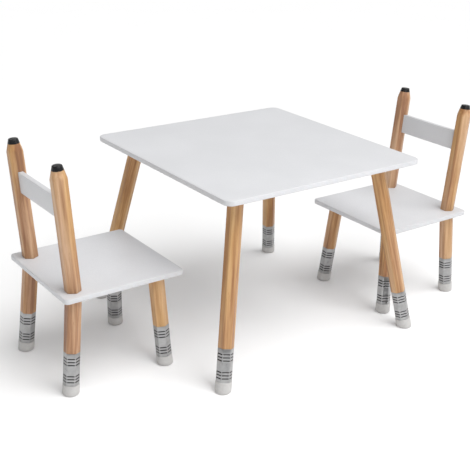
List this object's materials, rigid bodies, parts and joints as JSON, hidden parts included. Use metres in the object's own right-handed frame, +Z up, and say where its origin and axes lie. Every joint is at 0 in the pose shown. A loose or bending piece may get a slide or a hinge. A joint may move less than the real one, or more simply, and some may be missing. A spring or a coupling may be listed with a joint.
{
  "type": "children's table with two chairs",
  "caption": "Low square children's table on splayed pencil-shaped legs, with matching small chairs whose back posts are sharpened pencils.",
  "frame": {"origin": "on the floor, at the middle of the whole set's bounding box: midway between the two chairs, and 16 mm to the left of the table's centre", "axes": "+Z up; +X from the left chair to the right chair; the left chair faces +X and the right chair faces -X; the set's front faces -Y"},
  "size_m": [1.2138, 0.6424, 0.5568],
  "materials": {
    "painted_board": "satin white paint on MDF",
    "pencil_wood": "oiled, satin",
    "ferrule_metal": "satin silver with pressed grooves",
    "eraser_rubber": "matte off-white",
    "lead_black": "semi-gloss black",
    "dowel_wood": "raw beech",
    "fastener_steel": "zinc plated"
  },
  "bodies": {
    "table": {"table_top": "painted_board", "table_insert_nuts": "fastener_steel", "table_leg_studs": "fastener_steel", "table_front_left_leg": "pencil_wood", "table_front_left_ferrule": "ferrule_metal", "table_front_left_eraser": "eraser_rubber", "table_front_right_leg": "pencil_wood", "table_front_right_ferrule": "ferrule_metal", "table_front_right_eraser": "eraser_rubber", "table_rear_left_leg": "pencil_wood", "table_rear_left_ferrule": "ferrule_metal", "table_rear_left_eraser": "eraser_rubber", "table_rear_right_leg": "pencil_wood", "table_rear_right_ferrule": "ferrule_metal", "table_rear_right_eraser": "eraser_rubber"},
    "left_chair": {"left_chair_front_left_leg": "pencil_wood", "left_chair_front_left_ferrule": "ferrule_metal", "left_chair_front_left_eraser": "eraser_rubber", "left_chair_front_right_leg": "pencil_wood", "left_chair_front_right_ferrule": "ferrule_metal", "left_chair_front_right_eraser": "eraser_rubber", "left_chair_rear_left_leg": "pencil_wood", "left_chair_rear_left_ferrule": "ferrule_metal", "left_chair_rear_left_eraser": "eraser_rubber", "left_chair_rear_right_leg": "pencil_wood", "left_chair_rear_right_ferrule": "ferrule_metal", "left_chair_rear_right_eraser": "eraser_rubber", "left_chair_seat": "painted_board", "left_chair_backrest": "painted_board", "left_chair_backrest_dowels": "dowel_wood", "left_chair_insert_nuts": "fastener_steel", "left_chair_leg_studs": "fastener_steel", "left_chair_post_studs": "fastener_steel", "left_chair_left_back_post": "pencil_wood", "left_chair_right_back_post": "pencil_wood", "left_chair_left_lead_tip": "lead_black", "left_chair_right_lead_tip": "lead_black"},
    "right_chair": {"right_chair_front_left_leg": "pencil_wood", "right_chair_front_left_ferrule": "ferrule_metal", "right_chair_front_left_eraser": "eraser_rubber", "right_chair_front_right_leg": "pencil_wood", "right_chair_front_right_ferrule": "ferrule_metal", "right_chair_front_right_eraser": "eraser_rubber", "right_chair_rear_left_leg": "pencil_wood", "right_chair_rear_left_ferrule": "ferrule_metal", "right_chair_rear_left_eraser": "eraser_rubber", "right_chair_rear_right_leg": "pencil_wood", "right_chair_rear_right_ferrule": "ferrule_metal", "right_chair_rear_right_eraser": "eraser_rubber", "right_chair_seat": "painted_board", "right_chair_backrest": "painted_board", "right_chair_backrest_dowels": "dowel_wood", "right_chair_insert_nuts": "fastener_steel", "right_chair_leg_studs": "fastener_steel", "right_chair_post_studs": "fastener_steel", "right_chair_left_back_post": "pencil_wood", "right_chair_right_back_post": "pencil_wood", "right_chair_left_lead_tip": "lead_black", "right_chair_right_lead_tip": "lead_black"}
  },
  "joints": [
    {"name": "left_chair_slide", "type": "slide", "parent": "table", "child": "left_chair", "axis": [1, 0, 0], "range_m": [-0.3, 0.273]},
    {"name": "right_chair_slide", "type": "slide", "parent": "table", "child": "right_chair", "axis": [-1, 0, 0], "range_m": [-0.3, 0.241]}
  ]
}
